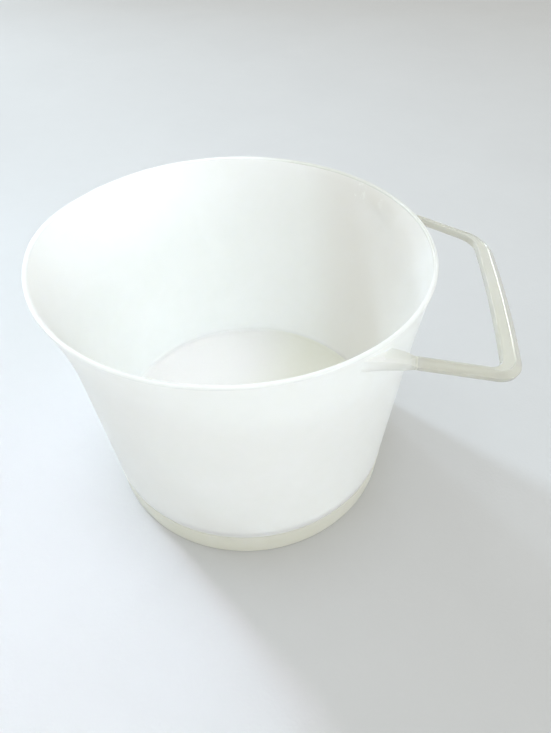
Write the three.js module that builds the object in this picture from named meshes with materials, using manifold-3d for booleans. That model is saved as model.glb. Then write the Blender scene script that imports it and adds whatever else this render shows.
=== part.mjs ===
// Batter bowl: a milky polypropylene bowl with a steep tapered wall, a rim drawn out
// into a broad pouring lip, a separate base ring, and a closed loop handle that stands
// out just under the rim and droops a little. Its two legs plug into sockets on the wall.
// Millimetres, +Z up. The handle points along +X and the pouring lip along -X.
import * as THREE from 'three';
import { mergeVertices } from 'three/addons/utils/BufferGeometryUtils.js';
import Module from 'manifold-3d';

// Bowl
const rimRadius = 85;
const bowlHeight = 136;
const wallThickness = 2;
const beadRadius = 1.1;
const beadProud = 0.25;
const floorTop = 19.2;
const floorThickness = 2.4;
const floorFillet = 3.5;
const floorDome = 0.6;

// Pouring lip: a broad draw-out of the rim with a narrower nose in its middle
const lipSweepReach = 7;
const lipSweepSpread = 60;
const lipNoseReach = 2.2;
const lipNoseSpread = 14;
const lipDepth = 40;
const lipCurve = 1.8;

// Slighter draw-out of the rim on the handle's side
const heelReach = 1.7;
const heelSpread = 32;

// Base ring and the spigot that it is pushed on
const ringHeight = 15.8;
const ringTopRadius = 77.6;
const ringTaper = 0.7;
const ringWall = 2.5;
const ringStep = 0.2;
const ringFlange = 4;
const ringFlangeThickness = 0.9;
const ringEdge = 0.7;
const ringFootEdge = 1.2;
const spigotThickness = 2.2;

// Handle loop, measured in its own sloping plane
const handleReach = 124.7;
const handleDrop = 10.8;
const handleDroop = 13.6;
const handleTipHalfWidth = 49.9;
const handleSplay = 9;
const strapWidth = 8.95;
const strapBow = 1.1;
const legWidth = 4.85;
const handleThickness = 3.9;
const outerCornerRadius = 14;
const innerCornerRadius = 8.5;
const crownWidth = 2.5;
const crownDrop = 1.9;
const handleEdge = 0.6;

// Sockets on the wall and the tongues that fill them
const socketMouth = 78.2;
const socketWall = 0.45;
const socketRun = 26;
const socketFlare = 4.6;
const socketRise = 2;
const socketCurve = 1.5;
const socketCorner = 1.2;
const socketDepth = 7;
const tongueShoulder = 0.75;
const seatClearance = 0.3;

// Smoothness
const roundSegments = 96;
const lipRows = 7;
const socketRows = 8;
const arcSteps = 6;
const cornerSteps = 8;
const strapSteps = 4;
const edgeSteps = 2;
const weldDistance = 1e-4;

const wallTopRadius = rimRadius - beadProud;
const wallFootRadius = ringTopRadius - ringStep;
const ringBottomRadius = ringTopRadius - ringTaper;
const ringBore = ringTopRadius - ringWall;
const spigotRadius = ringBore - seatClearance;
const beadTuck = -30;
const beadCentreRadius = rimRadius - beadRadius;
const beadCentreHeight = bowlHeight - beadRadius;
const shoulderHeight = ringHeight + seatClearance;
const spigotBottom = ringFlangeThickness + seatClearance;
const droop = THREE.MathUtils.degToRad(handleDroop);
const splay = THREE.MathUtils.degToRad(handleSplay);

const wasm = await Module();
wasm.setup();

// A closed three.js geometry as a solid that can be joined and cut
function toSolid(geometry) {
  const bare = geometry.clone();
  bare.deleteAttribute('normal');
  bare.deleteAttribute('uv');
  const merged = mergeVertices(bare, weldDistance);
  const mesh = new wasm.Mesh({
    numProp: 3,
    vertProperties: new Float32Array(merged.attributes.position.array),
    triVerts: new Uint32Array(merged.index.array),
  });
  return new wasm.Manifold(mesh);
}

function toGeometry(solid) {
  const mesh = solid.getMesh();
  const geometry = new THREE.BufferGeometry();
  geometry.setAttribute('position', new THREE.BufferAttribute(new Float32Array(mesh.vertProperties), 3));
  geometry.setIndex(new THREE.BufferAttribute(new Uint32Array(mesh.triVerts), 1));
  geometry.computeVertexNormals();
  return geometry;
}

function namedMesh(name, geometry, color, roughness) {
  const material = new THREE.MeshStandardMaterial({ color, roughness, metalness: 0 });
  const mesh = new THREE.Mesh(geometry, material);
  mesh.name = name;
  return mesh;
}

// Points on an arc, angles in degrees, both ends included
function arc(centreX, centreY, radius, from, to, steps) {
  return Array.from({ length: steps + 1 }, (_, i) => {
    const angle = THREE.MathUtils.degToRad(from + ((to - from) * i) / steps);
    return new THREE.Vector2(centreX + radius * Math.cos(angle), centreY + radius * Math.sin(angle));
  });
}

// A profile turned about the Z axis
function turned(profile) {
  const geometry = new THREE.LatheGeometry(profile, roundSegments);
  geometry.rotateX(Math.PI / 2);
  return geometry;
}

function outerWallRadius(height) {
  const share = (height - shoulderHeight) / (bowlHeight - shoulderHeight);
  return wallFootRadius + (wallTopRadius - wallFootRadius) * share;
}

function innerWallRadius(height) {
  return outerWallRadius(height) - wallThickness;
}

// A swelling that falls off on both sides of its middle
function swell(reach, turn, spread) {
  return reach * Math.exp(-((turn / spread) ** 2) / 2);
}

// How far the rim's draw-outs stand out of the round bowl at an angle and a height
function lipOffset(angle, height) {
  const rise = (height - (bowlHeight - lipDepth)) / lipDepth;
  if (rise <= 0) return 0;
  const fromHandle = THREE.MathUtils.radToDeg(Math.abs(angle));
  const fromLip = 180 - fromHandle;
  const sweep = swell(lipSweepReach, fromLip, lipSweepSpread);
  const nose = swell(lipNoseReach, fromLip, lipNoseSpread);
  const heel = swell(heelReach, fromHandle, heelSpread);
  return (sweep + nose + heel) * Math.min(rise, 1) ** lipCurve;
}

function drawOutLip(geometry) {
  const position = geometry.attributes.position;
  for (let i = 0; i < position.count; i += 1) {
    const x = position.getX(i);
    const y = position.getY(i);
    const radius = Math.hypot(x, y);
    if (radius < weldDistance) continue;
    const stretch = 1 + lipOffset(Math.atan2(y, x), position.getZ(i)) / radius;
    position.setX(i, x * stretch);
    position.setY(i, y * stretch);
  }
  return geometry;
}

// Heights of the wall's rows from the bottom of the lip to just under the bead
function lipHeights() {
  const bottom = bowlHeight - lipDepth;
  const top = beadCentreHeight - beadRadius;
  return Array.from({ length: lipRows + 1 }, (_, i) => bottom + ((top - bottom) * i) / lipRows);
}

function innerProfile(topHeight) {
  const filletTop = floorTop + floorFillet;
  const filletCentre = innerWallRadius(filletTop) - floorFillet;
  const wall = lipHeights().reverse().map((height) => new THREE.Vector2(innerWallRadius(height), height));
  return [
    new THREE.Vector2(innerWallRadius(topHeight), topHeight),
    ...wall,
    ...arc(filletCentre, filletTop, floorFillet, 0, -90, arcSteps),
    new THREE.Vector2(0, floorTop + floorDome),
  ];
}

function shellBlank() {
  const underside = floorTop - floorThickness;
  const profile = [
    new THREE.Vector2(0, underside),
    new THREE.Vector2(spigotRadius - spigotThickness, underside),
    new THREE.Vector2(spigotRadius - spigotThickness, spigotBottom),
    new THREE.Vector2(spigotRadius, spigotBottom),
    new THREE.Vector2(spigotRadius, shoulderHeight),
    new THREE.Vector2(wallFootRadius - ringEdge, shoulderHeight),
    new THREE.Vector2(outerWallRadius(shoulderHeight + ringEdge), shoulderHeight + ringEdge),
    ...lipHeights().map((height) => new THREE.Vector2(outerWallRadius(height), height)),
    ...arc(beadCentreRadius, beadCentreHeight, beadRadius, beadTuck, 180, arcSteps + 1),
    ...innerProfile(beadCentreHeight - beadRadius).slice(1),
  ];
  return drawOutLip(turned(profile));
}

// The space inside the bowl, to keep the sockets off its inner face
function cavity() {
  const above = bowlHeight + socketRun;
  return drawOutLip(turned([...innerProfile(above).reverse(), new THREE.Vector2(0, above)]));
}

// The handle's sloping plane: u runs outwards, v across, w is the height above its top face
function inHandlePlane(u, v, w) {
  return new THREE.Vector3(
    u * Math.cos(droop) + w * Math.sin(droop),
    v,
    bowlHeight - handleDrop - (u - rimRadius) * Math.sin(droop) + w * Math.cos(droop),
  );
}

// Skins rings of points, one after another, into a closed solid
function loft(rings) {
  const count = rings[0].length;
  const centre = (ring) => ring.reduce((sum, p) => sum.add(p), new THREE.Vector3()).divideScalar(count);
  const points = [...rings.flat(), centre(rings[0]), centre(rings.at(-1))];
  const first = points.length - 2;
  const last = points.length - 1;
  const index = [];
  for (let i = 0; i < count; i += 1) {
    const next = (i + 1) % count;
    index.push(first, next, i, last, (rings.length - 1) * count + i, (rings.length - 1) * count + next);
    for (let j = 0; j < rings.length - 1; j += 1) {
      const a = j * count + i;
      const b = j * count + next;
      index.push(a, b, b + count, a, b + count, a + count);
    }
  }
  const geometry = new THREE.BufferGeometry().setFromPoints(points);
  geometry.setIndex(index);
  return geometry;
}

// A point beside the middle line of the leg on the +v side, square to the leg
function legPoint(u, across) {
  const middle = handleTipHalfWidth + (handleReach - u) * Math.tan(splay) - legWidth / 2 / Math.cos(splay);
  return new THREE.Vector2(u + across * Math.sin(splay), middle + across * Math.cos(splay));
}

// One side of the loop's outline in plan: along the leg, round its corner and to the bowed strap's middle
function outlineSide(inset, legInset, radius, startU) {
  const start = legPoint(startU, legWidth / 2 - legInset);
  const tipU = handleReach - inset;
  const corner = new THREE.Vector2(tipU, start.y - (tipU - start.x) * Math.tan(splay));
  const tangent = radius * Math.tan((Math.PI / 2 - splay) / 2);
  const legEnd = new THREE.Vector2(-Math.cos(splay), Math.sin(splay)).multiplyScalar(tangent).add(corner);
  const round = arc(tipU - radius, corner.y - tangent, radius, 90 - handleSplay, 0, cornerSteps);
  const strap = Array.from({ length: strapSteps }, (_, i) => {
    const share = 1 - (i + 1) / strapSteps;
    return new THREE.Vector2(tipU + strapBow * (1 - share ** 2), round.at(-1).y * share);
  });
  return [start, legEnd.lerp(start, 0.5), ...round, ...strap];
}

// The whole outline: one side and its mirror image, the middle point counted once
function bothSides(side) {
  const other = side.slice(0, -1).reverse();
  return [...side, ...other.map((p) => new THREE.Vector2(p.x, -p.y))];
}

// Section of the handle between its outer and inner edges: chamfered outside, flat on top
function handleSection(outer, inner) {
  const width = outer.distanceTo(inner);
  const across = inner.clone().sub(outer).normalize();
  const bottom = -handleThickness;
  const outline = [
    [handleEdge, bottom],
    [0, bottom + handleEdge],
    [0, -crownDrop],
    [crownWidth, 0],
    [width - handleEdge, 0],
    [width, -handleEdge],
    [width, bottom + handleEdge],
    [width - handleEdge, bottom],
  ];
  return outline.map(([inset, w]) => {
    const p = outer.clone().addScaledVector(across, inset);
    return inHandlePlane(p.x, p.y, w);
  });
}

// A rounded box along a leg's middle line, through stations from the bowl outwards
function alongLeg(side, stations) {
  const corners = [[1, 1, 0], [-1, 1, 90], [-1, -1, 180], [1, -1, 270]];
  const rings = stations.map(({ u, halfWidth, halfHeight, corner }) => {
    const section = corners.flatMap(([signX, signY, from]) =>
      arc(signX * (halfWidth - corner), signY * (halfHeight - corner), corner, from, from + 90, edgeSteps));
    return section.map((p) => {
      const place = legPoint(u, p.x);
      return inHandlePlane(place.x, side * place.y, p.y - handleThickness / 2);
    });
  });
  return loft(side > 0 ? rings : rings.map((ring) => ring.reverse()));
}

function tongueSize(extra) {
  return {
    halfWidth: legWidth / 2 - tongueShoulder + extra,
    halfHeight: handleThickness / 2 - tongueShoulder + extra,
    corner: handleEdge,
  };
}

// Flared socket body from its mouth, through the wall, to inside the bowl
function socketBody(side) {
  const stations = Array.from({ length: socketRows + 1 }, (_, i) => {
    const share = i / socketRows;
    return {
      u: socketMouth - socketRun * share,
      halfWidth: legWidth / 2 + socketWall + socketFlare * share ** socketCurve,
      halfHeight: handleThickness / 2 + socketWall + socketRise * share ** socketCurve,
      corner: socketCorner,
    };
  });
  return alongLeg(side, stations.reverse());
}

function socketPocket(side) {
  const size = tongueSize(seatClearance);
  return alongLeg(side, [
    { u: socketMouth - socketDepth, ...size },
    { u: socketMouth + socketWall, ...size },
  ]);
}

function bowlShell() {
  const inside = toSolid(cavity());
  let shell = toSolid(shellBlank());
  for (const side of [1, -1]) {
    shell = shell.add(toSolid(socketBody(side)).subtract(inside));
    shell = shell.subtract(toSolid(socketPocket(side)));
  }
  return toGeometry(shell);
}

function baseRing() {
  const flangeRadius = ringBore - ringFlange;
  const section = [
    new THREE.Vector2(flangeRadius, 0),
    ...arc(ringBottomRadius - ringFootEdge, ringFootEdge, ringFootEdge, -90, 0, edgeSteps),
    new THREE.Vector2(ringTopRadius, ringHeight - ringEdge),
    new THREE.Vector2(ringTopRadius - ringEdge, ringHeight),
    new THREE.Vector2(ringBore, ringHeight),
    new THREE.Vector2(ringBore, ringFlangeThickness),
    new THREE.Vector2(flangeRadius, ringFlangeThickness),
  ];
  return turned([...section, section[0].clone()]);
}

function handleLoop() {
  const startU = socketMouth + seatClearance;
  const outer = bothSides(outlineSide(0, 0, outerCornerRadius, startU));
  const inner = bothSides(outlineSide(strapWidth, legWidth, innerCornerRadius, startU));
  let loop = toSolid(loft(outer.map((p, i) => handleSection(p, inner[i]))));
  for (const side of [1, -1]) {
    const tongue = alongLeg(side, [
      { u: socketMouth - socketDepth + seatClearance, ...tongueSize(0) },
      { u: startU + handleEdge, ...tongueSize(0) },
    ]);
    loop = loop.add(toSolid(tongue));
  }
  return toGeometry(loop);
}

const batterBowl = new THREE.Group();
batterBowl.add(namedMesh('bowl_shell', bowlShell(), '#e9eeec', 0.38));
batterBowl.add(namedMesh('base_ring', baseRing(), '#d9dccb', 0.45));
batterBowl.add(namedMesh('handle_loop', handleLoop(), '#d6d5bd', 0.4));

// The origin is under the middle of the whole part, on the surface that it stands on
const extent = new THREE.Box3().setFromObject(batterBowl);
batterBowl.position.x = -(extent.min.x + extent.max.x) / 2;

export default batterBowl;
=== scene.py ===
"""Looks of a batter bowl: milky polypropylene, with a pouring lip, a clearer base ring and a loop handle.

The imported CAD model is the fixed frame. Each of its three pieces is modelled again here with round edges
and fine steps, dressed in a translucent plastic, and set in a pale studio at the photograph's viewing
angle. All sizes are in metres. The handle points along +X and the pouring lip along -X.
"""

import logging
import math
from dataclasses import dataclass, replace
from enum import Enum, IntEnum

import bmesh
import bpy
from bpy.types import Material, Node, NodeSocket, NodeTree, Object
from mathutils import Matrix, Vector


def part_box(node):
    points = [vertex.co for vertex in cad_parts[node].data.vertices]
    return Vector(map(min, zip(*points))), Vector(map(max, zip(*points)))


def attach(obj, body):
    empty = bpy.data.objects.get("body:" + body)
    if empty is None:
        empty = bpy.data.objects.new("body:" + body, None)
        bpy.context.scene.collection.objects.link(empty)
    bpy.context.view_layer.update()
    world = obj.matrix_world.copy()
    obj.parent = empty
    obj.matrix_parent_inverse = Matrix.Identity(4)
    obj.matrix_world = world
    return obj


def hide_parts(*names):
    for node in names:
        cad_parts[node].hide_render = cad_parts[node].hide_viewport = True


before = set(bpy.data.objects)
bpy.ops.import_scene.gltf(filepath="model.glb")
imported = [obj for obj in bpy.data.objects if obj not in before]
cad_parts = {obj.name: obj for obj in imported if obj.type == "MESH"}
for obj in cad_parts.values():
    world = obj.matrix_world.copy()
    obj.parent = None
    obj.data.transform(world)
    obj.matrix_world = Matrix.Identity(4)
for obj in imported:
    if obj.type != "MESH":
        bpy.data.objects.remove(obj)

LOG = logging.getLogger("batter_bowl")
WELD_DISTANCE = 1e-6
TOLERANCE = 1e-4
MIDDLE = 0.5  # of a noise's values and of a mask
# A Mix node repeats its sockets for each data type. These are a colour mix's share, A, B and result.
COLOUR_MIX_INPUTS = ("0", "6", "7")
COLOUR_MIX_OUTPUT = 2

Point = tuple[float, float]
Profile = list[Point]
Colour = tuple[float, float, float, float]


def arc(centre: Point, radii: Point, start: float, end: float, steps: int) -> Profile:
    """Points along an elliptic arc, both ends included.

    Args:
        centre: The arc's centre.
        radii: Its two half axes.
        start: First angle, in degrees.
        end: Last angle, in degrees.
        steps: How many steps lie between the two.

    Returns:
        The points in order.
    """
    angles = (math.radians(start + (end - start) * i / steps) for i in range(steps + 1))
    return [(centre[0] + radii[0] * math.cos(a), centre[1] + radii[1] * math.sin(a)) for a in angles]


def straight(start: Point, end: Point, steps: int) -> Profile:
    """Points along a straight line, the first one left out.

    Args:
        start: Where the line starts.
        end: Where it ends.
        steps: How many steps it has.

    Returns:
        The points in order.
    """
    return [
        (start[0] + (end[0] - start[0]) * i / steps, start[1] + (end[1] - start[1]) * i / steps)
        for i in range(1, steps + 1)
    ]


def rounded(corners: list[tuple[float, float, float]], steps: int, side_steps: int = 4) -> Profile:
    """A closed outline of straight lines with rounded corners.

    Args:
        corners: Place and radius of each corner.
        steps: How many steps each round has.
        side_steps: How many steps each straight line has.

    Returns:
        The outline's points, with extra ones along each straight line.
    """
    points: Profile = []
    for number, (x, y, radius) in enumerate(corners):
        here = Vector((x, y))
        back = (Vector(corners[number - 1][:2]) - here).normalized()
        ahead = (Vector(corners[(number + 1) % len(corners)][:2]) - here).normalized()
        half = back.angle(ahead) / 2
        centre = here + (back + ahead).normalized() * (radius / math.sin(half))
        first = here + back * (radius / math.tan(half)) - centre
        last = here + ahead * (radius / math.tan(half)) - centre
        bend = [centre + first.slerp(last, step / steps).normalized() * radius for step in range(steps + 1)]
        if points:
            points += straight(points[-1], tuple(bend[0]), side_steps)[:-1]
        points += [tuple(p) for p in bend]
    return points + straight(points[-1], points[0], side_steps)[:-1]


class Bench:
    """The few hand tools that every piece is made with."""

    @staticmethod
    def clear() -> None:
        """Leaves edit mode and selects nothing."""
        if bpy.context.object is not None and bpy.context.object.mode != "OBJECT":
            bpy.ops.object.mode_set(mode="OBJECT")
        bpy.ops.object.select_all(action="DESELECT")

    @staticmethod
    def pick(piece: Object) -> None:
        """Selects one piece alone and makes it the active one.

        Args:
            piece: The piece to work on.
        """
        Bench.clear()
        piece.select_set(True)
        bpy.context.view_layer.objects.active = piece

    @staticmethod
    def combine(piece: Object, tool: Object, operation: str) -> None:
        """Joins a tool piece to a piece, or cuts the piece with it, and keeps both objects.

        Args:
            piece: The piece that changes.
            tool: The other solid.
            operation: UNION or DIFFERENCE.
        """
        Bench.pick(piece)
        modifier = piece.modifiers.new("combine", "BOOLEAN")
        modifier.operation = operation
        modifier.solver = "EXACT"
        modifier.object = tool
        bpy.ops.object.modifier_apply(modifier=modifier.name)

    @staticmethod
    def finish(piece: Object, crease: float) -> None:
        """Points all faces outwards and shades them smooth up to an angle.

        Args:
            piece: The finished solid.
            crease: The angle, in degrees, above which an edge stays sharp.
        """
        Bench.pick(piece)
        bpy.ops.object.mode_set(mode="EDIT")
        bpy.ops.mesh.select_all(action="SELECT")
        bpy.ops.mesh.remove_doubles(threshold=WELD_DISTANCE)
        bpy.ops.mesh.normals_make_consistent(inside=False)
        bpy.ops.object.mode_set(mode="OBJECT")
        bpy.ops.object.shade_smooth_by_angle(angle=math.radians(crease))


@dataclass
class Turning:
    """A turned body, raised ring by ring: the open edge is extruded and then scaled to its next radius."""

    name: str
    axis_x: float
    segments: int

    def raise_rings(self, profile: Profile) -> Object:
        """Makes the first ring and extrudes it along the profile.

        Args:
            profile: Radius and height of each ring.

        Returns:
            The new object, in edit mode, with its last ring selected.
        """
        Bench.clear()
        radius, height = profile[0]
        centre = (self.axis_x, 0.0, height)
        bpy.ops.mesh.primitive_circle_add(vertices=self.segments, radius=radius, location=centre)
        piece = bpy.context.object
        piece.name = self.name
        bpy.ops.object.transform_apply(location=True)
        bpy.ops.object.mode_set(mode="EDIT")
        for next_radius, next_height in profile[1:]:
            self.extrude_ring(next_radius / radius, next_height - height, next_height)
            radius, height = next_radius, next_height
        return piece

    def extrude_ring(self, scale: float, rise: float, height: float) -> None:
        """Extrudes the selected ring by a rise to a height, and scales it about the axis."""
        bpy.ops.mesh.extrude_edges_move(TRANSFORM_OT_translate={"value": (0.0, 0.0, rise)})
        bpy.ops.transform.resize(value=(scale, scale, 1.0), center_override=(self.axis_x, 0.0, height))

    def close_pole(self, radii: tuple[float, ...], radius: float, height: float, dome: float) -> None:
        """Closes the selected ring with narrower rings and a point in the middle.

        Args:
            radii: Radii of the narrower rings.
            radius: Radius of the selected ring.
            height: Its height.
            dome: How far the middle stands above it.
        """
        outer, level = radius, height
        for narrower in radii:
            target = height + dome * (1 - (narrower / radius) ** 2)
            self.extrude_ring(narrower / outer, target - level, target)
            outer, level = narrower, target
        bpy.ops.mesh.extrude_edges_move(TRANSFORM_OT_translate={"value": (0.0, 0.0, height + dome - level)})
        bpy.ops.mesh.merge(type="CENTER")

    def solid(
        self, profile: Profile, start_pole: tuple[float, ...], end_pole: tuple[float, ...], dome: float
    ) -> Object:
        """A closed turned solid.

        Args:
            profile: Radius and height of each ring.
            start_pole: Radii of the rings that close its first ring.
            end_pole: Radii of the rings that close its last ring.
            dome: How far the middle of the last pole stands above its ring.

        Returns:
            The new object.
        """
        piece = self.raise_rings(profile)
        self.close_pole(end_pole, profile[-1][0], profile[-1][1], dome)
        bpy.ops.mesh.select_all(action="DESELECT")
        bpy.ops.mesh.select_non_manifold()
        self.close_pole(start_pole, profile[0][0], profile[0][1], 0.0)
        bpy.ops.object.mode_set(mode="OBJECT")
        return piece

    def hoop(self, profile: Profile) -> Object:
        """A closed ring-shaped solid.

        Args:
            profile: Radius and height of each ring, once round its section.

        Returns:
            The new object.
        """
        piece = self.raise_rings(profile)
        bpy.ops.mesh.select_all(action="DESELECT")
        bpy.ops.mesh.select_non_manifold()
        bpy.ops.mesh.bridge_edge_loops()
        bpy.ops.object.mode_set(mode="OBJECT")
        return piece


@dataclass
class Run:
    """A solid drawn along a line: one face is extruded from section to section and set on each."""

    name: str

    def solid(self, sections: list[list[Vector]]) -> Object:
        """Extrudes the first section through all the others.

        Args:
            sections: The sections' corner points, all with the same count.

        Returns:
            The new object.
        """
        Bench.clear()
        bpy.ops.mesh.primitive_circle_add(vertices=len(sections[0]), fill_type="NGON")
        piece = bpy.context.object
        piece.name = self.name
        bpy.ops.object.mode_set(mode="EDIT")
        mesh = bmesh.from_edit_mesh(piece.data)
        corner = mesh.verts.layers.int.new("corner")
        mesh.verts.ensure_lookup_table()
        for number, vertex in enumerate(mesh.verts):
            vertex[corner] = number
            vertex.co = sections[0][number]
        bmesh.update_edit_mesh(piece.data)
        for section in sections[1:]:
            bpy.ops.mesh.extrude_region_move()
            mesh = bmesh.from_edit_mesh(piece.data)
            corner = mesh.verts.layers.int["corner"]
            for vertex in mesh.verts:
                if vertex.select:
                    vertex.co = section[vertex[corner]]
            bmesh.update_edit_mesh(piece.data)
        bpy.ops.object.mode_set(mode="OBJECT")
        piece.data.attributes.remove(piece.data.attributes["corner"])
        return piece


class Tree:
    """A node tree that is filled by short calls."""

    def __init__(self, tree: NodeTree) -> None:
        """Starts on a material's or a group's node tree."""
        self.tree = tree

    def node(self, kind: str, settings: dict[str, object] | None = None, **inputs: object) -> Node:
        """Adds a node.

        Args:
            kind: The node's type name.
            settings: Values of its own properties.
            **inputs: Values or sockets for its inputs, with spaces in their names written as underscores.

        Returns:
            The new node.
        """
        node = self.tree.nodes.new(kind)
        for name, value in (settings or {}).items():
            setattr(node, name, value)
        for name, value in inputs.items():
            self.feed(node, name.replace("_", " "), value)
        return node

    def feed(self, node: Node, name: str, value: object) -> None:
        """Sets an input to a value or links a socket to it.

        Args:
            node: The node that is fed.
            name: The input's name, or its number as text.
            value: A plain value or another node's output.
        """
        socket = node.inputs[int(name)] if name.isdigit() else node.inputs[name]
        if isinstance(value, NodeSocket):
            self.tree.links.new(value, socket)
        else:
            socket.default_value = value

    def math(self, operation: str, first: object, second: object) -> NodeSocket:
        """Adds a Math node and returns its output.

        Args:
            operation: What it does.
            first: Its first input.
            second: Its second input.

        Returns:
            Its value.
        """
        node = self.node("ShaderNodeMath", {"operation": operation})
        self.feed(node, "0", first)
        self.feed(node, "1", second)
        return node.outputs[0]

    def ramp(self, value: object, low: float, high: float) -> NodeSocket:
        """A smooth step from 0 at low to 1 at high.

        Args:
            value: The socket to read.
            low: Where the step starts.
            high: Where it ends.

        Returns:
            The stepped value.
        """
        node = self.node("ShaderNodeMapRange", {"interpolation_type": "SMOOTHSTEP"}, Value=value)
        self.feed(node, "From Min", low)
        self.feed(node, "From Max", high)
        return node.outputs["Result"]

    def blend(self, share: object, first: object, second: object) -> NodeSocket:
        """Mixes two colours.

        Args:
            share: How much of the second colour shows.
            first: The first colour.
            second: The second colour.

        Returns:
            The mixed colour.
        """
        node = self.node("ShaderNodeMix", {"data_type": "RGBA"})
        for number, value in zip(COLOUR_MIX_INPUTS, (share, first, second)):
            self.feed(node, number, value)
        return node.outputs[COLOUR_MIX_OUTPUT]

    def place(self) -> NodeSocket:
        """The shaded point in its piece's own coordinates."""
        return self.node("ShaderNodeTexCoord").outputs["Object"]

    def noise(self, place: object, scale: object, **inputs: object) -> NodeSocket:
        """A noise of some scale at a place."""
        return self.node("ShaderNodeTexNoise", Vector=place, Scale=scale, **inputs).outputs["Fac"]

    def clamp(self, value: object) -> NodeSocket:
        """A value kept between 0 and 1."""
        return self.node("ShaderNodeClamp", Value=value).outputs[0]


class Effect(Enum):
    """The shared surface effects, one node group each."""

    HAZE = "moulded_haze"
    GRAIN = "moulded_grain"
    SCUFF = "edge_scuff"
    SCRATCHES = "fine_scratches"


class EffectShelf:
    """Builds each shared effect once and hands it out."""

    # A ramp is where a smooth step starts and ends. A scratch run is a turn and a stretch.
    MOTTLE_SCALE = 7.3
    MOTTLE_SHARE = 0.35
    HAZE_MIDDLE = 0.67
    HAZE_GAIN = 2.2
    GRAIN_SHARE = 0.25
    EDGE_RAMP = (0.505, 0.56)
    SCUFF_RAMP = (0.42, 0.66)
    SCRATCH_TILT = (0.2, 0.35)
    SCRATCH_RUNS = ((0.6, (1.0, 14.0, 3.0)), (2.1, (12.0, 1.0, 4.0)))
    SCRATCH_WIDTH = 0.012
    PATCH_SCALE = 0.5
    PATCH_RAMP = (0.5, 0.62)

    def __init__(self) -> None:
        """Builds all the effects."""
        self.groups = {
            Effect.HAZE: self._haze(),
            Effect.GRAIN: self._grain(),
            Effect.SCUFF: self._scuff(),
            Effect.SCRATCHES: self._scratches(),
        }

    @staticmethod
    def _group(
        effect: Effect, inputs: dict[str, float], output: str
    ) -> tuple[Tree, Node, Node]:
        """Starts a group with float inputs and one float output.

        Args:
            effect: Which effect it is for.
            inputs: The inputs and their first values.
            output: The output's name.

        Returns:
            The tree, its input node and its output node.
        """
        group = bpy.data.node_groups.new(effect.value, "ShaderNodeTree")
        for name, value in inputs.items():
            socket = group.interface.new_socket(name, in_out="INPUT", socket_type="NodeSocketFloat")
            socket.default_value = value
        group.interface.new_socket(output, in_out="OUTPUT", socket_type="NodeSocketFloat")
        tree = Tree(group)
        return tree, tree.node("NodeGroupInput"), tree.node("NodeGroupOutput")

    def _haze(self) -> NodeTree:
        """Slow clouds where the plastic cooled unevenly, with a finer mottle in them.

        Returns:
            The group.
        """
        tree, given, result = self._group(Effect.HAZE, {"Scale": 20.0, "Contrast": 1.0}, "Mask")
        place, scale = tree.place(), given.outputs["Scale"]
        clouds = tree.noise(place, scale, Detail=4.0, Distortion=0.6)
        mottle = tree.noise(place, tree.math("MULTIPLY", scale, self.MOTTLE_SCALE), Detail=3.0)
        both = tree.math("ADD", clouds, tree.math("MULTIPLY", mottle, self.MOTTLE_SHARE))
        centred = tree.math("SUBTRACT", both, self.HAZE_MIDDLE)
        gain = tree.math("MULTIPLY", given.outputs["Contrast"], self.HAZE_GAIN)
        mask = tree.math("ADD", tree.math("MULTIPLY", centred, gain), MIDDLE)
        tree.feed(result, "Mask", tree.clamp(mask))
        return tree.tree

    def _grain(self) -> NodeTree:
        """Height of the satin mould surface: a fine grain on a faint waviness.

        Returns:
            The group.
        """
        scales = {"Grain Scale": 2500.0, "Wave Scale": 130.0}
        tree, given, result = self._group(Effect.GRAIN, scales, "Height")
        place = tree.place()
        fine = tree.noise(place, given.outputs["Grain Scale"], Detail=2.0)
        wave = tree.noise(place, given.outputs["Wave Scale"], Detail=1.0)
        height = tree.math("ADD", tree.math("MULTIPLY", fine, self.GRAIN_SHARE), wave)
        tree.feed(result, "Height", height)
        return tree.tree

    def _scuff(self) -> NodeTree:
        """Wear on outer edges, broken up by noise.

        Returns:
            The group.
        """
        tree, given, result = self._group(Effect.SCUFF, {"Amount": 1.0, "Scale": 300.0}, "Mask")
        edge = tree.ramp(tree.node("ShaderNodeNewGeometry").outputs["Pointiness"], *self.EDGE_RAMP)
        noise = tree.noise(tree.place(), given.outputs["Scale"], Detail=5.0, Roughness=0.7)
        broken = tree.math("MULTIPLY", edge, tree.ramp(noise, *self.SCUFF_RAMP))
        tree.feed(result, "Mask", tree.math("MULTIPLY", broken, given.outputs["Amount"]))
        return tree.tree

    def _scratches(self) -> NodeTree:
        """Two sets of thin, long scratches that cross each other, with gaps between them.

        Returns:
            The group.
        """
        tree, given, result = self._group(Effect.SCRATCHES, {"Scale": 60.0, "Density": 1.0}, "Mask")
        place, scale = tree.place(), given.outputs["Scale"]
        total: object = 0.0
        for turn, stretch in self.SCRATCH_RUNS:
            mapping = tree.node("ShaderNodeMapping", Vector=place)
            mapping.inputs["Rotation"].default_value = (*self.SCRATCH_TILT, turn)
            mapping.inputs["Scale"].default_value = stretch
            lines = tree.math("SUBTRACT", tree.noise(mapping.outputs[0], scale, Detail=2.0), MIDDLE)
            line = tree.ramp(tree.math("ABSOLUTE", lines, 0.0), self.SCRATCH_WIDTH, 0.0)
            total = tree.math("ADD", line, total)
        patches = tree.noise(place, tree.math("MULTIPLY", scale, self.PATCH_SCALE))
        shown = tree.math("MULTIPLY", total, tree.ramp(patches, *self.PATCH_RAMP))
        mask = tree.math("MULTIPLY", shown, given.outputs["Density"])
        tree.feed(result, "Mask", tree.clamp(mask))
        return tree.tree

    def use(self, tree: Tree, effect: Effect, output: str, **inputs: object) -> NodeSocket:
        """Places an effect's group in a material, feeds its inputs and returns one of its outputs."""
        return tree.node("ShaderNodeGroup", {"node_tree": self.groups[effect]}, **inputs).outputs[output]


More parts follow.
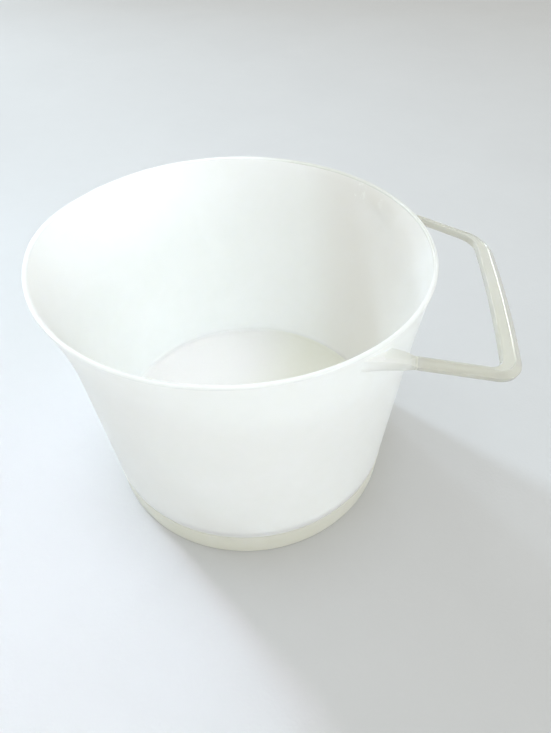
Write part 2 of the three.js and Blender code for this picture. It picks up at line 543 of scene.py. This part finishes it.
@dataclass(frozen=True)
class TranslucentPlastic:
    """A moulded polypropylene: how clear it is, its tint, a zone colour (own tint on some pieces, painted
    light and shade on others), and what handling has left on it.
    """

    name: str
    clear_colour: Colour
    cloudy_colour: Colour
    scuff_colour: Colour = (0.93, 0.93, 0.9, 1.0)
    roughness: float = 0.34
    depth: float = 0.012
    scatter: float = 0.9
    scatter_radius: tuple[float, float, float] = (1.0, 1.0, 0.9)
    transmission: float = 0.0
    coat: float = 0.0
    coat_roughness: float = 0.1
    haze_scale: float = 22.0
    haze_contrast: float = 1.0
    grain_height: float = 0.00002
    scuff: float = 0.5
    scratches: float = 0.5
    # A zone colour shows below the span, measured along a direction turned about Z: the plastic's own tint
    # on the socket and the handle, painted shade on the bowl's wall and rim, painted light on its floor.
    tint_and_painted_light_colour: Colour | None = None
    tint_and_painted_light_span: Point = (0.0, 1.0)
    tint_and_painted_light_turn: float = 0.0
    refraction: float = 1.49
    haze_roughness: float = 0.06
    wear_roughness: float = 0.22
    scratch_wear: float = 0.35
    scratch_relief: float = 0.4

    def build(self, shelf: EffectShelf) -> Material:
        """Makes the material.

        Args:
            shelf: Where the shared effects come from.

        Returns:
            The material.
        """
        material = bpy.data.materials.new(self.name)
        material.use_nodes = True
        tree = Tree(material.node_tree)
        shader = material.node_tree.nodes["Principled BSDF"]
        haze = shelf.use(tree, Effect.HAZE, "Mask", Scale=self.haze_scale, Contrast=self.haze_contrast)
        scuff = shelf.use(tree, Effect.SCUFF, "Mask", Amount=self.scuff)
        scratch = shelf.use(tree, Effect.SCRATCHES, "Mask", Density=self.scratches)
        worn = tree.clamp(tree.math("ADD", scuff, tree.math("MULTIPLY", scratch, self.scratch_wear)))
        haze_and_painted_light = tree.blend(haze, self.clear_colour, self.cloudy_colour)
        # The zone colour: the plastic's own tint on some finishes, painted light and shade on others.
        if self.tint_and_painted_light_colour is not None:
            turned = tree.node("ShaderNodeMapping", Vector=tree.place())
            turned.inputs["Rotation"].default_value = (0.0, 0.0, -self.tint_and_painted_light_turn)
            place = tree.node("ShaderNodeSeparateXYZ", Vector=turned.outputs[0])
            haze_and_painted_light = tree.blend(tree.ramp(place.outputs["X"], *self.tint_and_painted_light_span), self.tint_and_painted_light_colour, haze_and_painted_light)
        tree.feed(shader, "Base Color", tree.blend(worn, haze_and_painted_light, self.scuff_colour))
        cloudy = tree.math("MULTIPLY", haze, self.haze_roughness)
        rough = tree.math("ADD", cloudy, self.roughness - self.haze_roughness / 2)
        worn_rough = tree.math("MULTIPLY", worn, self.wear_roughness)
        tree.feed(shader, "Roughness", tree.math("ADD", rough, worn_rough))
        tree.feed(shader, "Normal", self._relief(tree, shelf, scratch))
        for name, value in (
            ("Subsurface Weight", self.scatter),
            ("Subsurface Radius", self.scatter_radius),
            ("Subsurface Scale", self.depth),
            ("Transmission Weight", self.transmission),
            ("Coat Weight", self.coat),
            ("Coat Roughness", self.coat_roughness),
            ("IOR", self.refraction),
        ):
            shader.inputs[name].default_value = value
        return material

    def _relief(self, tree: Tree, shelf: EffectShelf, scratch: NodeSocket) -> NodeSocket:
        """The surface's fine relief.

        Args:
            tree: The material's tree.
            shelf: Where the shared effects come from.
            scratch: The scratches' mask.

        Returns:
            The bent normal.
        """
        height = shelf.use(tree, Effect.GRAIN, "Height")
        height = tree.math("SUBTRACT", height, tree.math("MULTIPLY", scratch, self.scratch_relief))
        bump = tree.node("ShaderNodeBump", Height=height, Distance=self.grain_height)
        bump.inputs["Strength"].default_value = 1.0
        return bump.outputs[0]


class LoopSlot(IntEnum):
    """The handle's material slots."""

    LOOP = 0
    ROOT = 1


class ShellSlot(IntEnum):
    """The bowl's material slots."""

    WALL = 0
    FLOOR = 1
    SOCKET = 2
    RIM = 3
    FOOT = 4
    MOUTH = 5
    INNER_RIM = 6


@dataclass
class Handle:
    """The loop handle: two splayed legs and a bowed strap in one drooping plane."""

    axis_x: float
    rim_radius: float = 0.085
    bowl_height: float = 0.136
    reach: float = 0.1247
    drop: float = 0.0108
    droop: float = math.radians(13.6)
    splay: float = math.radians(9.0)
    tip_half_width: float = 0.0499
    strap_width: float = 0.00895
    strap_bow: float = 0.0011
    leg_width: float = 0.00485
    thickness: float = 0.0039
    outer_corner: float = 0.014
    inner_corner: float = 0.0085
    crown_width: float = 0.0036
    crown_drop: float = 0.0019
    crown_step: float = 0.0005
    crown_slope: float = 0.7
    crown_round: float = 0.0001
    edge: float = 0.0006
    mouth: float = 0.0782
    gap: float = 0.00002
    root_band: float = 0.0011
    leg_shares: tuple[float, ...] = (0.35, 0.7, 0.98)
    corner_steps: int = 20
    strap_steps: int = 12
    edge_steps: int = 5
    crease: float = 42.0

    def lift(self, u: float, v: float, w: float) -> Vector:
        """A point of the handle's plane in the model's frame.

        Args:
            u: Distance outwards along the plane.
            v: Distance across.
            w: Height above the plane.

        Returns:
            The point.
        """
        x = self.axis_x + u * math.cos(self.droop) + w * math.sin(self.droop)
        level = self.bowl_height - self.drop - (u - self.rim_radius) * math.sin(self.droop)
        return Vector((x, v, level + w * math.cos(self.droop)))

    def leg_point(self, u: float, across: float) -> Vector:
        """A point beside the middle line of the leg on the +Y side, square to the leg.

        Args:
            u: Where along the leg.
            across: How far beside its middle line.

        Returns:
            The point in the handle's plane.
        """
        middle = self.tip_half_width + (self.reach - u) * math.tan(self.splay)
        middle -= self.leg_width / 2 / math.cos(self.splay)
        return Vector((u + across * math.sin(self.splay), middle + across * math.cos(self.splay)))

    def side(self, inset: float, leg_inset: float, radius: float, start: float) -> list[Vector]:
        """Half of an outline in plan, from a leg's root to the strap's middle.

        Args:
            inset: How far the strap's line lies inside the reach.
            leg_inset: How far the leg's line lies inside its outer one.
            radius: The corner's radius.
            start: Where the leg starts.

        Returns:
            The outline's points.
        """
        root = self.leg_point(start, self.leg_width / 2 - leg_inset)
        tip = self.reach - inset
        corner = Vector((tip, root.y - (tip - root.x) * math.tan(self.splay)))
        tangent = radius * math.tan((math.pi / 2 - self.splay) / 2)
        leg_end = corner + tangent * Vector((-math.cos(self.splay), math.sin(self.splay)))
        centre = (tip - radius, corner.y - tangent)
        bend = arc(centre, (radius, radius), 90 - math.degrees(self.splay), 0, self.corner_steps)
        band = self.root_band / (leg_end - root).length
        points = [root.lerp(leg_end, share) for share in (0.0, band, *self.leg_shares)]
        points += [Vector(p) for p in bend]
        last = points[-1].y
        for step in range(1, self.strap_steps + 1):
            share = 1 - step / self.strap_steps
            points.append(Vector((tip + self.strap_bow * (1 - share**2), last * share)))
        return points

    def outline(self, inset: float, leg_inset: float, radius: float, start: float) -> list[Vector]:
        """A whole outline: one half, given as for side, and its mirror image."""
        half = self.side(inset, leg_inset, radius, start)
        return half + [Vector((p.x, -p.y)) for p in reversed(half[:-1])]

    def section(self, outer: Vector, inner: Vector) -> list[Vector]:
        """The section between two outlines: a chamfer outside, then a fine crown and a flat top.

        Args:
            outer: Point of the outer outline.
            inner: Point of the inner outline.

        Returns:
            The section's corner points.
        """
        across = (inner - outer).normalized()
        shape = self.crowned((outer - inner).length, self.thickness, 1.0, self.edge)
        return [self.lift(*(outer + across * inset), w) for inset, w in shape]

    def crowned(self, width: float, thickness: float, share: float, edge: float) -> Profile:
        """The section's shape: distance from its outer side and height over its top.

        Args:
            width: Its width.
            thickness: Its thickness.
            share: Size of the crown over its full size.
            edge: Radius of its other corners.

        Returns:
            The outline's points.
        """
        crown, drop, step = self.crown_width * share, self.crown_drop * share, self.crown_step * share
        return rounded([
            (0.0, -thickness, edge),
            (0.0, -drop, self.crown_round),
            (crown, 0.0, self.crown_round),
            (crown + step * self.crown_slope, -step, self.crown_round),
            (width, -step, edge),
            (width, -thickness, edge),
        ], self.edge_steps)

    def build(self) -> Object:
        """Draws the handle from one leg's end to the other's.

        Returns:
            The new object.
        """
        start = self.mouth + self.gap
        outer = self.outline(0.0, 0.0, self.outer_corner, start)
        inner = self.outline(self.strap_width, self.leg_width, self.inner_corner, start)
        piece = Run("handle_loop_smooth").solid([self.section(a, b) for a, b in zip(outer, inner)])
        Bench.finish(piece, self.crease)
        root_x = self.axis_x + (start + self.root_band) * math.cos(self.droop)
        for face in piece.data.polygons:
            if face.center.x < root_x:
                face.material_index = LoopSlot.ROOT
        return piece


@dataclass
class Socket:
    """A flared socket that holds one leg of the handle and melts into the wall."""

    handle: Handle
    wall: float = 0.00045
    wall_run: float = 0.0035
    run: float = 0.026
    flare: float = 0.0046
    rise: float = 0.002
    curve: float = 1.5
    crown_left: float = 0.4
    edge_growth: float = 0.0013
    mouth_band: float = 0.0018
    steps: int = 28
    crease: float = 40.0

    def section(self, side: int, back: float) -> list[Vector]:
        """A section across a leg: the leg's own at the mouth, wider and higher towards the wall.

        Args:
            side: 1 for the leg on the +Y side and -1 for the other.
            back: How far it lies behind the mouth.

        Returns:
            The section's corner points.
        """
        swell = (back / self.run) ** self.curve
        cover = min(back / self.wall_run, 1.0)
        half_width = self.handle.leg_width / 2 + self.wall * cover + self.flare * swell
        half_height = self.handle.thickness / 2 + self.wall * cover + self.rise * swell
        crown = 1 - (1 - self.crown_left) * cover
        edge = self.handle.edge + self.edge_growth * swell
        points = []
        for inset, w in self.handle.crowned(2 * half_width, 2 * half_height, crown, edge):
            place = self.handle.leg_point(self.handle.mouth - back, half_width - inset)
            height = half_height + w - self.handle.thickness / 2
            points.append(self.handle.lift(place.x, side * place.y, height))
        return points

    def body(self, side: int) -> Object:
        """The socket's outside, from its mouth into the wall.

        Args:
            side: 1 for the leg on the +Y side and -1 for the other.

        Returns:
            The new object.
        """
        sections = [self.section(side, self.run * step / self.steps) for step in range(self.steps + 1)]
        piece = Run("socket_body").solid(sections)
        Bench.finish(piece, self.crease)
        return piece


@dataclass
class BowlShell:
    """The milky bowl: spigot, floor, tapered wall, rim bead, pouring lip and the handle's two sockets."""

    axis_x: float
    socket: Socket
    rim_radius: float = 0.08495
    height: float = 0.136
    wall: float = 0.002
    foot_radius: float = 0.0774
    foot_edge: float = 0.0002
    shoulder: float = 0.01585
    bead: float = 0.0011
    bead_proud: float = 0.00025
    floor_top: float = 0.0192
    floor_thickness: float = 0.0024
    fillet: float = 0.0035
    dome: float = 0.0006
    spigot_radius: float = 0.0748
    spigot_wall: float = 0.0022
    spigot_bottom: float = 0.0012
    spigot_edge: float = 0.0004
    sweep: Point = (0.007, 60.0)
    nose: Point = (0.0022, 14.0)
    heel: Point = (0.0017, 32.0)
    lip_depth: float = 0.04
    lip_curve: float = 1.8
    segments: int = 256
    foot_band: float = 0.0018
    rim_band: float = 0.003
    inner_rim: float = 0.00105
    wall_rows: int = 26
    row_gap: float = 0.001
    edge_steps: int = 5
    bead_steps: int = 18
    fillet_steps: int = 14
    floor_poles: tuple[float, ...] = (0.055, 0.04, 0.026, 0.014, 0.005)
    under_poles: tuple[float, ...] = (0.05, 0.03, 0.01)
    cavity_poles: tuple[float, ...] = (0.04,)
    cavity_rows: int = 20
    level_face: float = 0.5
    turned_crease: float = 30.0
    crease: float = 34.0

    def outer_radius(self, height: float) -> float:
        """The wall's outer radius at a height above the table, without the lip."""
        share = (height - self.shoulder) / (self.height - self.shoulder)
        return self.foot_radius + (self.rim_radius - self.bead_proud - self.foot_radius) * share

    def profile(self) -> Profile:
        """The shell's section, from under the floor, up the outside, over the rim and down the inside.

        Returns:
            Radius and height of each ring.
        """
        bore = self.spigot_radius - self.spigot_wall
        edge, small = self.foot_edge, self.spigot_edge
        bottom, spigot = self.spigot_bottom, self.spigot_radius
        lowest, highest = self.shoulder + self.foot_band, self.height - self.rim_band
        rows = [self.shoulder + edge]
        rows += [lowest + (highest - lowest) * i / self.wall_rows for i in range(self.wall_rows + 1)]
        fillet_top = self.floor_top + self.fillet
        fillet_centre = (self.outer_radius(fillet_top) - self.wall - self.fillet, fillet_top)
        bead_centre = (self.rim_radius - self.bead, self.height - self.bead)
        inside = [h for h in reversed(rows) if h > fillet_top + self.row_gap]
        foot_centre = (self.foot_radius - edge, self.shoulder + edge)
        points = [(bore, self.floor_top - self.floor_thickness), (bore, bottom + small)]
        points += [(bore + small, bottom), (spigot - small, bottom)]
        points += [(spigot, bottom + small), (spigot, self.shoulder)]
        points += arc(foot_centre, (edge, edge), 270, 350, self.edge_steps)
        points += [(self.outer_radius(h), h) for h in rows]
        points += arc(bead_centre, (self.bead, self.bead), 0, 180, self.bead_steps)
        points += [(self.outer_radius(h) - self.wall, h) for h in inside]
        points += arc(fillet_centre, (self.fillet, self.fillet), 0, -90, self.fillet_steps)
        return points

    def lip_offset(self, angle: float, height: float) -> float:
        """How far the rim's draw-outs stand out of the round bowl.

        Args:
            angle: Angle about the bowl's axis, 0 at the handle.
            height: Height above the table.

        Returns:
            The distance outwards.
        """
        rise = (height - (self.height - self.lip_depth)) / self.lip_depth
        if rise <= 0:
            return 0.0
        from_handle = abs(math.degrees(angle))
        turns = ((self.sweep, 180 - from_handle), (self.nose, 180 - from_handle), (self.heel, from_handle))
        reach = sum(size * math.exp(-((turn / spread) ** 2) / 2) for (size, spread), turn in turns)
        return reach * min(rise, 1.0) ** self.lip_curve

    def draw_out_lip(self, piece: Object) -> None:
        """Draws the rim of a turned piece out into the lip and, more slightly, towards the handle.

        Args:
            piece: The turned piece.
        """
        for vertex in piece.data.vertices:
            x, y = vertex.co.x - self.axis_x, vertex.co.y
            radius = math.hypot(x, y)
            if radius > TOLERANCE:
                stretch = 1 + self.lip_offset(math.atan2(y, x), vertex.co.z) / radius
                vertex.co.x = self.axis_x + x * stretch
                vertex.co.y = y * stretch

    def cavity(self) -> Object:
        """The space inside the bowl, to keep the sockets off its inner face.

        Returns:
            The new object.
        """
        fillet_top = self.floor_top + self.fillet
        above = self.height + self.socket.run
        count = self.cavity_rows
        rows = [fillet_top + (above - fillet_top) * i / count for i in range(count + 1)]
        profile = [(self.outer_radius(h) - self.wall, h) for h in rows]
        turning = Turning("cavity", self.axis_x, self.segments)
        piece = turning.solid(profile, self.cavity_poles, self.cavity_poles, 0.0)
        self.draw_out_lip(piece)
        Bench.finish(piece, self.turned_crease)
        return piece

    def build(self) -> Object:
        """Turns the shell, draws out its lip and sets the sockets on it.

        Returns:
            The new object.
        """
        turning = Turning("bowl_shell_smooth", self.axis_x, self.segments)
        piece = turning.solid(self.profile(), self.under_poles, self.floor_poles, self.dome)
        self.draw_out_lip(piece)
        Bench.finish(piece, self.turned_crease)
        inside = self.cavity()
        for side in (1, -1):
            body = self.socket.body(side)
            Bench.combine(body, inside, "DIFFERENCE")
            Bench.combine(piece, body, "UNION")
            bpy.data.objects.remove(body)
        bpy.data.objects.remove(inside)
        Bench.finish(piece, self.crease)
        for face in piece.data.polygons:
            face.material_index = self.slot_at(face.center, face.normal)
        return piece

    def slot_at(self, place: Vector, normal: Vector) -> ShellSlot:
        """The material slot of a face: wall, floor, socket, mouth, rim, the rim's inner side or foot.

        Args:
            place: The face's middle.
            normal: Its normal.

        Returns:
            The slot.
        """
        handle = self.socket.handle
        x, z = place.x - self.axis_x, place.z
        radius = math.hypot(x, place.y)
        proud = radius - self.outer_radius(z) - self.lip_offset(math.atan2(place.y, x), z)
        # The floor's finish covers its dome and a third of the fillet.
        floor_end = self.floor_top + max(self.dome, self.fillet / 3)
        if normal.z > self.level_face and self.floor_top - TOLERANCE < z < floor_end:
            return ShellSlot.FLOOR
        if x > 0 and z < self.height - handle.drop / 2 and proud > TOLERANCE:
            mouth_x = (handle.mouth - self.socket.mouth_band) * math.cos(handle.droop)
            return ShellSlot.MOUTH if x > mouth_x else ShellSlot.SOCKET
        if z > self.height - self.bead:
            return ShellSlot.INNER_RIM if proud < -self.inner_rim else ShellSlot.RIM
        if z < self.shoulder + self.foot_band and radius > self.spigot_radius + self.foot_edge:
            return ShellSlot.FOOT
        return ShellSlot.WALL


@dataclass
class BaseRing:
    """The clearer ring round the foot, with a flange under the spigot."""

    axis_x: float
    height: float = 0.0158
    top_radius: float = 0.0776
    bottom_radius: float = 0.0769
    bore: float = 0.0751
    flange: float = 0.004
    flange_thickness: float = 0.0009
    edge: float = 0.00015
    foot_edge: float = 0.0012
    small_edge: float = 0.0002
    flat_steps: int = 3
    side_steps: int = 5
    foot_steps: int = 7
    edge_steps: int = 6
    small_steps: int = 2
    segments: int = 256
    crease: float = 32.0

    def build(self) -> Object:
        """Turns the ring.

        Returns:
            The new object.
        """
        edge, foot, small, top = self.edge, self.foot_edge, self.small_edge, self.flange_thickness
        inner = self.bore - self.flange
        points = [(inner + small, 0.0)]
        points += straight(points[-1], (self.bottom_radius - foot, 0.0), self.flat_steps)
        points += arc((self.bottom_radius - foot, foot), (foot, foot), -90, 0, self.foot_steps)[1:]
        points += straight(points[-1], (self.top_radius, self.height - edge), self.side_steps)
        top_centre = (self.top_radius - edge, self.height - edge)
        points += arc(top_centre, (edge, edge), 0, 90, self.edge_steps)[1:]
        points += arc((self.bore + small, self.height - small), (small, small), 90, 180, self.small_steps)
        points += straight(points[-1], (self.bore, top), self.flat_steps)
        points += [(inner + small, top), (inner, top - small), (inner, small)]
        piece = Turning("base_ring_smooth", self.axis_x, self.segments).hoop(points)
        Bench.finish(piece, self.crease)
        return piece


@dataclass(frozen=True)
class Lamp:
    """A round soft light that points at the bowl or beside it."""

    name: str
    direction: tuple[float, float, float]
    distance: float
    size: float
    power: float
    colour: tuple[float, float, float] = (1.0, 1.0, 1.0)
    spread: float = math.radians(180)
    aim: tuple[float, float, float] = (0.0, 0.0, 0.0)

    def hang(self) -> None:
        """Hangs the light."""
        data = bpy.data.lights.new(self.name, "AREA")
        data.shape = "DISK"
        data.size = self.size
        data.energy = self.power
        data.color = self.colour
        data.spread = self.spread
        light = bpy.data.objects.new(self.name, data)
        direction = Vector(self.direction)
        light.location = Vector(self.aim) + direction.normalized() * self.distance
        light.rotation_euler = (-direction).to_track_quat("-Z", "Y").to_euler()
        bpy.context.scene.collection.objects.link(light)


KEY = Lamp(
    name="key_light",
    direction=(-0.586, 0.457, 0.669),
    distance=2.2,
    size=0.18,
    power=1.45,
    colour=(0.71, 0.87, 1.0),
    spread=math.radians(60),
)
LOW_KEY = Lamp(
    name="low_key_light",
    direction=(-0.626, 0.746, 0.225),
    distance=2.2,
    size=0.2,
    power=1.1,
    colour=(0.72, 0.88, 1.0),
    spread=math.radians(60),
)
GLINT = Lamp(
    name="glint_light",
    direction=(-0.485, 0.79, 0.375),
    distance=2.2,
    size=0.3,
    power=0.17,
    spread=math.radians(60),
)
WINDOW = Lamp(
    name="window_light",
    direction=(-0.9, 0.15, 0.4),
    distance=0.48,
    size=0.24,
    power=0.28,
    colour=(0.7, 0.87, 1.0),
)
# The two pools stand for the window's glare on the table and on the bowl's floor.
TABLE_POOL = Lamp(
    name="table_pool_light",
    direction=KEY.direction,
    distance=KEY.distance,
    size=KEY.size,
    power=0.07,
    colour=(0.88, 0.91, 1.0),
    spread=math.radians(10.4),
    aim=(-0.108, -0.145, 0.0),
)
FLOOR_POOL = Lamp(
    name="floor_pool_light",
    direction=(0.0, 0.0, 1.0),
    distance=1.5,
    size=0.05,
    power=0.0093,
    colour=(0.74, 0.77, 0.9),
    spread=math.radians(6.8),
    aim=(-0.076, 0.038, 0.02),
)
FILL = Lamp(
    name="fill_light",
    direction=(0.8, -0.55, 0.19),
    distance=2.6,
    size=0.72,
    power=0.515,
    colour=(0.95, 0.98, 1.0),
    spread=math.radians(40),
)
CEILING = Lamp(
    name="ceiling_light",
    direction=(0.0, 0.0, 1.0),
    distance=2.0,
    size=0.8,
    power=4.5,
    colour=(0.84, 0.93, 1.0),
)


@dataclass
class Studio:
    """A pale table and soft light, with the key lights behind the bowl on its left."""

    table_size: float = 40.0
    table_colour: Colour = (0.67, 0.675, 0.69, 1.0)
    table_shade: float = 0.97
    table_relief: float = 0.0004
    table_roughness: float = 0.8
    table_specular: float = 0.2
    world_colour: Colour = (1.0, 0.998, 0.94, 1.0)
    world_strength: float = 0.757

    def build(self, shelf: EffectShelf) -> None:
        """Lays the table, lights it and sets the world.

        Args:
            shelf: Where the shared effects come from.
        """
        Bench.clear()
        bpy.ops.mesh.primitive_plane_add(size=self.table_size)
        table = bpy.context.object
        table.name = "table"
        table.data.materials.append(self._table_material(shelf))
        for lamp in (KEY, LOW_KEY, GLINT, WINDOW, TABLE_POOL, FLOOR_POOL, FILL, CEILING):
            lamp.hang()
        world = bpy.data.worlds.new("soft_room")
        world.use_nodes = True
        background = world.node_tree.nodes["Background"]
        background.inputs["Color"].default_value = self.world_colour
        background.inputs["Strength"].default_value = self.world_strength
        bpy.context.scene.world = world
        bpy.context.scene.view_settings.view_transform = "Standard"

    def _table_material(self, shelf: EffectShelf) -> Material:
        """A matt painted table with a faint mottle.

        Args:
            shelf: Where the shared effects come from.

        Returns:
            The material.
        """
        material = bpy.data.materials.new("painted_table")
        material.use_nodes = True
        tree = Tree(material.node_tree)
        shader = material.node_tree.nodes["Principled BSDF"]
        mottle = shelf.use(tree, Effect.HAZE, "Mask", Scale=9.0, Contrast=0.8)
        darker = tuple(self.table_shade * c for c in self.table_colour[:3]) + (1.0,)
        tree.feed(shader, "Base Color", tree.blend(mottle, darker, self.table_colour))
        relief = shelf.use(tree, Effect.GRAIN, "Height", Grain_Scale=600.0, Wave_Scale=45.0)
        bump = tree.node("ShaderNodeBump", Height=relief, Distance=self.table_relief)
        tree.feed(shader, "Normal", bump.outputs[0])
        shader.inputs["Roughness"].default_value = self.table_roughness
        shader.inputs["Specular IOR Level"].default_value = self.table_specular
        return material


@dataclass
class Viewpoint:
    """The photograph's camera: close to the bowl and above it, as a phone held in the hand."""

    axis_x: float
    beside: float = 0.04345
    before: float = 0.2079
    above_table: float = 0.2724
    heading: float = -0.132
    pitch: float = 0.79
    roll: float = -0.011
    lens: float = 36.37
    sensor: float = 36.0
    clip_start: float = 0.01

    def build(self) -> None:
        """Sets up the camera and makes it the scene's."""
        data = bpy.data.cameras.new("photo_camera")
        data.sensor_fit = "HORIZONTAL"
        data.sensor_width = self.sensor
        data.lens = self.lens
        data.clip_start = self.clip_start
        camera = bpy.data.objects.new("photo_camera", data)
        forward = Vector((
            math.sin(self.heading) * math.cos(self.pitch),
            math.cos(self.heading) * math.cos(self.pitch),
            -math.sin(self.pitch),
        ))
        right = forward.cross(Vector((0, 0, 1))).normalized()
        up = right.cross(forward)
        turned_right = right * math.cos(self.roll) + up * math.sin(self.roll)
        turned_up = up * math.cos(self.roll) - right * math.sin(self.roll)
        turn = Matrix((turned_right, turned_up, -forward)).transposed().to_4x4()
        place = Vector((self.axis_x + self.beside, -self.before, self.above_table))
        camera.matrix_world = Matrix.Translation(place) @ turn
        bpy.context.scene.collection.objects.link(camera)
        bpy.context.scene.camera = camera


MILKY = TranslucentPlastic(
    name="milky_plastic",
    clear_colour=(0.905, 0.915, 0.88, 1.0),
    cloudy_colour=(0.935, 0.94, 0.92, 1.0),
    coat=0.3,
    coat_roughness=0.12,
    scratches=0.2,
    # The zone colour darkens the wall on its back-right side, where its inside lies in shade: painted
    # shade.
    tint_and_painted_light_colour=(0.75, 0.72, 0.69, 1.0),
    tint_and_painted_light_span=(-0.07, -0.054),
    tint_and_painted_light_turn=math.radians(220.0),
)
# The floor's yellower colour also stands for the shaded table seen through it, as painted shade; the
# near-white zone colour on its left part is painted light.
FLOOR = TranslucentPlastic(
    name="milky_floor",
    clear_colour=(0.918, 0.916, 0.816, 1.0),
    cloudy_colour=(0.945, 0.945, 0.86, 1.0),
    depth=0.001,
    scatter=0.05,
    tint_and_painted_light_colour=(0.99, 0.995, 0.98, 1.0),
    tint_and_painted_light_span=(-0.025, 0.022),
)
SOCKET = TranslucentPlastic(
    name="milky_socket",
    clear_colour=(0.76, 0.785, 0.735, 1.0),
    cloudy_colour=(0.79, 0.815, 0.765, 1.0),
    tint_and_painted_light_colour=(0.915, 0.925, 0.895, 1.0),
    tint_and_painted_light_span=(0.043, 0.061),
)
MOUTH = TranslucentPlastic(
    name="milky_mouth",
    clear_colour=(0.74, 0.755, 0.7, 1.0),
    cloudy_colour=(0.77, 0.785, 0.73, 1.0),
    depth=0.001,
    scatter=0.3,
)
# The rim bead is darker than the wall: partly the clearer plastic at its edge, partly painted shade that
# holds back the light on its top. Its zone colour darkens it further on its back, as painted shade.
RIM = TranslucentPlastic(
    name="milky_rim",
    clear_colour=(0.81, 0.83, 0.81, 1.0),
    cloudy_colour=(0.84, 0.86, 0.84, 1.0),
    roughness=0.32,
    coat=0.5,
    coat_roughness=0.08,
    tint_and_painted_light_colour=(0.62, 0.625, 0.6, 1.0),
    tint_and_painted_light_span=(-0.07, -0.05),
    tint_and_painted_light_turn=math.radians(255.0),
)
# On the rim's inner side the zone colour darkens its back-right side to the tone of the shaded inner wall:
# painted shade.
INNER_RIM = replace(
    RIM,
    name="milky_inner_rim",
    coat=0.1,
    coat_roughness=0.12,
    tint_and_painted_light_colour=(0.56, 0.56, 0.52, 1.0),
    tint_and_painted_light_span=(-0.06, -0.035),
    tint_and_painted_light_turn=MILKY.tint_and_painted_light_turn,
)
FOOT = TranslucentPlastic(
    name="milky_foot",
    clear_colour=(0.9, 0.91, 0.88, 1.0),
    cloudy_colour=(0.92, 0.93, 0.905, 1.0),
    depth=0.001,
    scatter=0.5,
)
RING = TranslucentPlastic(
    name="ring_plastic",
    clear_colour=(0.87, 0.87, 0.76, 1.0),
    cloudy_colour=(0.91, 0.91, 0.82, 1.0),
    roughness=0.36,
    depth=0.002,
    scatter=0.7,
    transmission=0.1,
)
LOOP = TranslucentPlastic(
    name="handle_plastic",
    clear_colour=(0.895, 0.895, 0.81, 1.0),
    cloudy_colour=(0.93, 0.93, 0.865, 1.0),
    roughness=0.16,
    depth=0.0012,
    scatter=0.5,
    transmission=0.5,
    coat=1.0,
    coat_roughness=0.06,
    tint_and_painted_light_colour=(0.92, 0.93, 0.89, 1.0),
    tint_and_painted_light_span=(0.0618, 0.0665),
)
ROOT = TranslucentPlastic(
    name="handle_root",
    clear_colour=(0.69, 0.7, 0.63, 1.0),
    cloudy_colour=(0.72, 0.73, 0.66, 1.0),
    roughness=0.2,
    depth=0.0005,
    scatter=0.2,
    coat=1.0,
    coat_roughness=0.06,
)
# In the order of the material slots.
SHELL_FINISHES = (MILKY, FLOOR, SOCKET, RIM, FOOT, MOUTH, INNER_RIM)
LOOP_FINISHES = (LOOP, ROOT)


def dress(
    piece: Object, node: str, finishes: tuple[TranslucentPlastic, ...], shelf: EffectShelf
) -> None:
    """Gives a piece its materials and lets it stand for its CAD node.

    Args:
        piece: The modelled piece.
        node: The CAD node it stands for.
        finishes: Its finishes in the order of its own slots.
        shelf: Where the shared effects come from.
    """
    for finish in finishes:
        piece.data.materials.append(finish.build(shelf))
    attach(piece, "root")
    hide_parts(node)
    LOG.info("%s: %d faces, stands for %s", piece.name, len(piece.data.polygons), node)


def main() -> None:
    """Builds the bowl, its ring, its handle and the studio."""
    logging.basicConfig(level=logging.INFO, format="%(message)s")
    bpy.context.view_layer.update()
    low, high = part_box("base_ring")
    axis_x = (low.x + high.x) / 2
    Viewpoint(axis_x).build()
    shelf = EffectShelf()
    handle = Handle(axis_x)
    shell = BowlShell(axis_x, Socket(handle)).build()
    dress(shell, "bowl_shell", SHELL_FINISHES, shelf)
    dress(BaseRing(axis_x).build(), "base_ring", (RING,), shelf)
    dress(handle.build(), "handle_loop", LOOP_FINISHES, shelf)
    Studio().build(shelf)
    Bench.clear()


if __name__ == "__main__":
    main()
